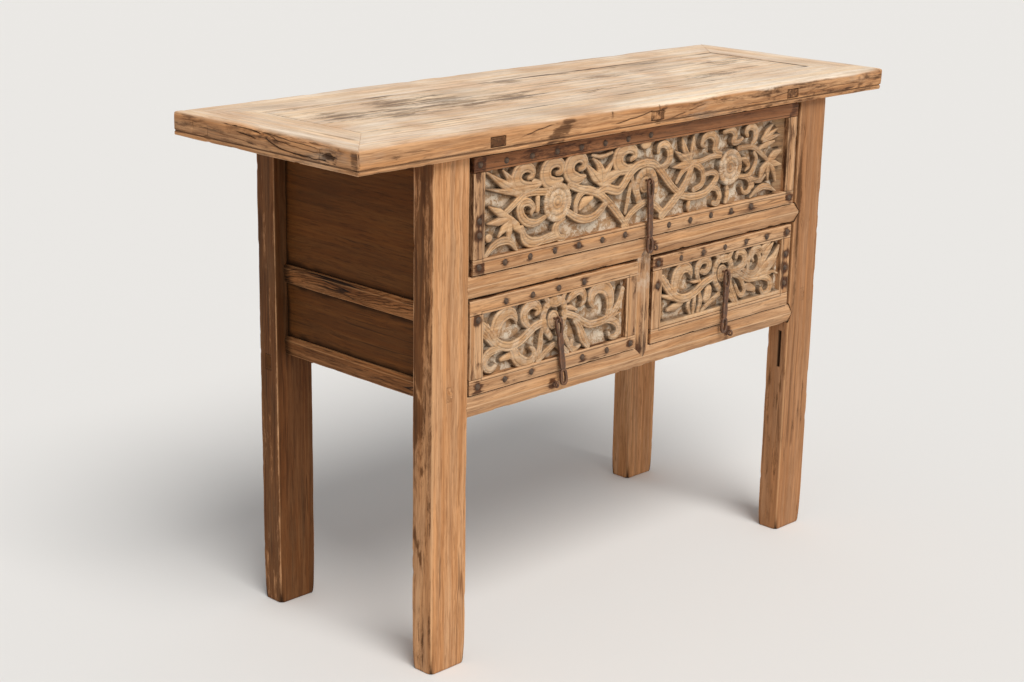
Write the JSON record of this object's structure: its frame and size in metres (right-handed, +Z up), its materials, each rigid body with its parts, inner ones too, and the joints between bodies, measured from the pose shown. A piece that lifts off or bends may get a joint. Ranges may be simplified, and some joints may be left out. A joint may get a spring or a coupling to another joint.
{
  "type": "altar table",
  "caption": "Altar table: framed top with overhanging ends, panelled sides, carved drawers with swinging iron hasps.",
  "frame": {"origin": "on the floor below the middle of the tabletop", "axes": "+X to the right along the front, +Y from front to back, +Z up"},
  "size_m": [1.25, 0.426, 0.84],
  "materials": {
    "bleached_elm": "worn, bleached and dry",
    "carved_elm": "carved, with remains of whitewash in the ground",
    "orange_elm": "worn and lightly waxed",
    "leg_elm": "worn and lightly waxed",
    "dark_elm": "old dark stain",
    "drawer_wood": "bare",
    "wrought_iron": "forged, rusty brown"
  },
  "bodies": {
    "table": {"back_bottom_rail": "dark_elm", "back_lower_panel": "dark_elm", "back_mid_rail": "dark_elm", "back_upper_panel": "dark_elm", "front_bottom_rail": "orange_elm", "front_left_leg": "leg_elm", "front_mid_rail": "orange_elm", "front_muntin": "orange_elm", "front_right_leg": "leg_elm", "left_side_bottom_rail": "dark_elm", "left_side_lower_panel": "dark_elm", "left_side_mid_rail": "dark_elm", "left_side_upper_panel": "dark_elm", "lower_runners": "drawer_wood", "rail_staples": "wrought_iron", "rear_left_leg": "leg_elm", "rear_right_leg": "leg_elm", "right_side_bottom_rail": "dark_elm", "right_side_lower_panel": "dark_elm", "right_side_mid_rail": "dark_elm", "right_side_upper_panel": "dark_elm", "top_back_rail": "bleached_elm", "top_battens": "bleached_elm", "top_board": "bleached_elm", "top_front_rail": "bleached_elm", "top_left_end": "bleached_elm", "top_right_end": "bleached_elm", "upper_runners": "drawer_wood"},
    "upper_drawer": {"upper_drawer_back": "drawer_wood", "upper_drawer_bottom": "drawer_wood", "upper_drawer_eye": "wrought_iron", "upper_drawer_frame_strips": "orange_elm", "upper_drawer_front_board": "carved_elm", "upper_drawer_left_side": "drawer_wood", "upper_drawer_nails": "wrought_iron", "upper_drawer_right_side": "drawer_wood"},
    "upper_hasp": {"upper_drawer_hasp": "wrought_iron"},
    "lower_left_drawer": {"lower_left_drawer_back": "drawer_wood", "lower_left_drawer_bottom": "drawer_wood", "lower_left_drawer_eye": "wrought_iron", "lower_left_drawer_frame_strips": "orange_elm", "lower_left_drawer_front_board": "carved_elm", "lower_left_drawer_left_side": "drawer_wood", "lower_left_drawer_nails": "wrought_iron", "lower_left_drawer_right_side": "drawer_wood"},
    "lower_left_hasp": {"lower_left_drawer_hasp": "wrought_iron"},
    "lower_right_drawer": {"lower_right_drawer_back": "drawer_wood", "lower_right_drawer_bottom": "drawer_wood", "lower_right_drawer_eye": "wrought_iron", "lower_right_drawer_frame_strips": "orange_elm", "lower_right_drawer_front_board": "carved_elm", "lower_right_drawer_left_side": "drawer_wood", "lower_right_drawer_nails": "wrought_iron", "lower_right_drawer_right_side": "drawer_wood"},
    "lower_right_hasp": {"lower_right_drawer_hasp": "wrought_iron"}
  },
  "joints": [
    {"name": "upper_drawer_slide", "type": "slide", "parent": "table", "child": "upper_drawer", "axis": [0, -1, 0], "range_m": [0, 0.28]},
    {"name": "upper_hasp_swing", "type": "hinge", "parent": "upper_drawer", "child": "upper_hasp", "pos_m": [-0.004, -0.2065, 0.71403], "axis": [-1, 0, 0], "range_deg": [0, 120]},
    {"name": "lower_left_drawer_slide", "type": "slide", "parent": "table", "child": "lower_left_drawer", "axis": [0, -1, 0], "range_m": [0, 0.28]},
    {"name": "lower_left_hasp_swing", "type": "hinge", "parent": "lower_left_drawer", "child": "lower_left_hasp", "pos_m": [-0.21175, -0.2065, 0.52297], "axis": [-1, 0, 0], "range_deg": [0, 120]},
    {"name": "lower_right_drawer_slide", "type": "slide", "parent": "table", "child": "lower_right_drawer", "axis": [0, -1, 0], "range_m": [0, 0.28]},
    {"name": "lower_right_hasp_swing", "type": "hinge", "parent": "lower_right_drawer", "child": "lower_right_hasp", "pos_m": [0.20675, -0.2065, 0.52798], "axis": [-1, 0, 0], "range_deg": [0, 120]}
  ]
}
